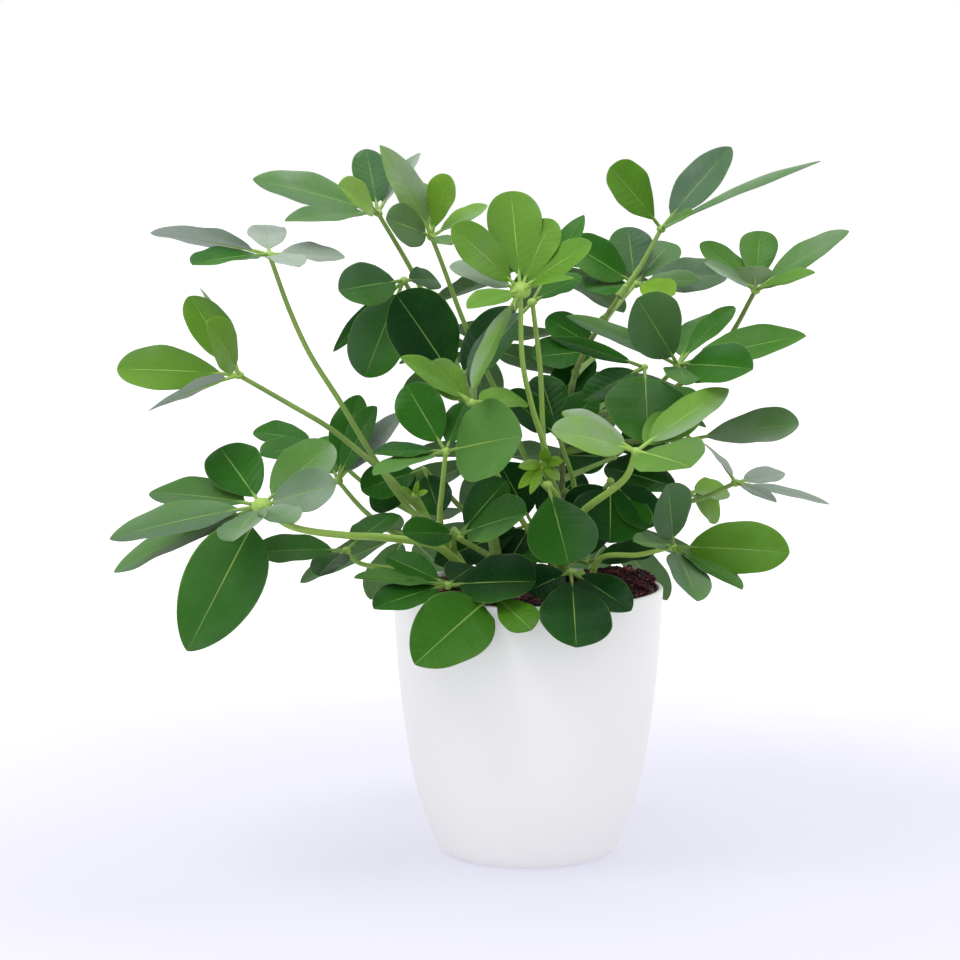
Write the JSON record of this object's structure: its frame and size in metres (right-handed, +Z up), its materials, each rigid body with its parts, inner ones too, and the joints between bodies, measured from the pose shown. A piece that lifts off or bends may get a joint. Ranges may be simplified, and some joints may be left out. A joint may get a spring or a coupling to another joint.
{
  "type": "potted umbrella plant",
  "caption": "Bushy umbrella plant with long-stalked, finger-like compound leaves, standing in a smooth round white cover pot.",
  "frame": {"origin": "centre of the pot's flat foot, on the surface it stands on", "axes": "+Z up along the pot's axis; -Y is the front, as in the picture; +X is the viewer's right"},
  "size_m": [0.3661, 0.2818, 0.3617],
  "materials": {
    "pot_white": "satin white moulded plastic",
    "grow_pot_brown": "matt terracotta-brown thin plastic",
    "compost": "crumbly dark red-brown bark compost",
    "stem_green": "smooth green young stem",
    "leaf_mature": "semi-gloss dark green leaf",
    "leaf_young": "semi-gloss bright green young leaf"
  },
  "bodies": {
    "root": {"cover_pot": "pot_white", "grow_pot": "grow_pot_brown", "soil": "compost", "stem_left": "stem_green", "stem_centre": "stem_green", "stem_right": "stem_green", "stem_back": "stem_green", "stem_low": "stem_green", "leaf_upper_left": "leaf_mature", "leaf_left": "leaf_young", "leaf_mid_left": "leaf_mature", "leaf_left_behind": "leaf_mature", "leaf_lower_left": "leaf_mature", "leaf_left_below": "leaf_mature", "leaf_low_left": "leaf_mature", "leaf_front_low": "leaf_mature", "leaf_front_centre": "leaf_mature", "leaf_centre_left": "leaf_mature", "leaf_centre_pair": "leaf_mature", "leaf_right_front": "leaf_young", "leaf_centre_low": "leaf_mature", "leaf_lower_right": "leaf_mature", "leaf_right_small": "leaf_mature", "leaf_right_behind": "leaf_mature", "leaf_right_single": "leaf_mature", "leaf_right": "leaf_mature", "leaf_right_inner": "leaf_mature", "leaf_top_right": "leaf_mature", "leaf_upper_right": "leaf_mature", "leaf_top_behind_right": "leaf_mature", "leaf_top_left": "leaf_mature", "leaf_top": "leaf_young", "leaf_top_centre": "leaf_young", "leaf_top_behind": "leaf_mature", "leaf_centre_right": "leaf_mature", "leaf_upper_centre_left": "leaf_mature", "leaf_centre_dark_left": "leaf_mature", "leaf_centre_bright": "leaf_young", "leaf_centre_dark": "leaf_mature", "leaf_left_inner": "leaf_mature", "leaf_centre_behind": "leaf_mature", "leaf_back_left": "leaf_mature", "leaf_back_top": "leaf_mature", "leaf_back_right": "leaf_mature", "leaf_back_centre": "leaf_mature", "leaf_back_low_right": "leaf_mature", "leaf_back_low_left": "leaf_mature", "leaf_centre_front": "leaf_mature", "leaf_deep_right": "leaf_mature", "leaf_deep_low": "leaf_mature"}
  },
  "joints": []
}
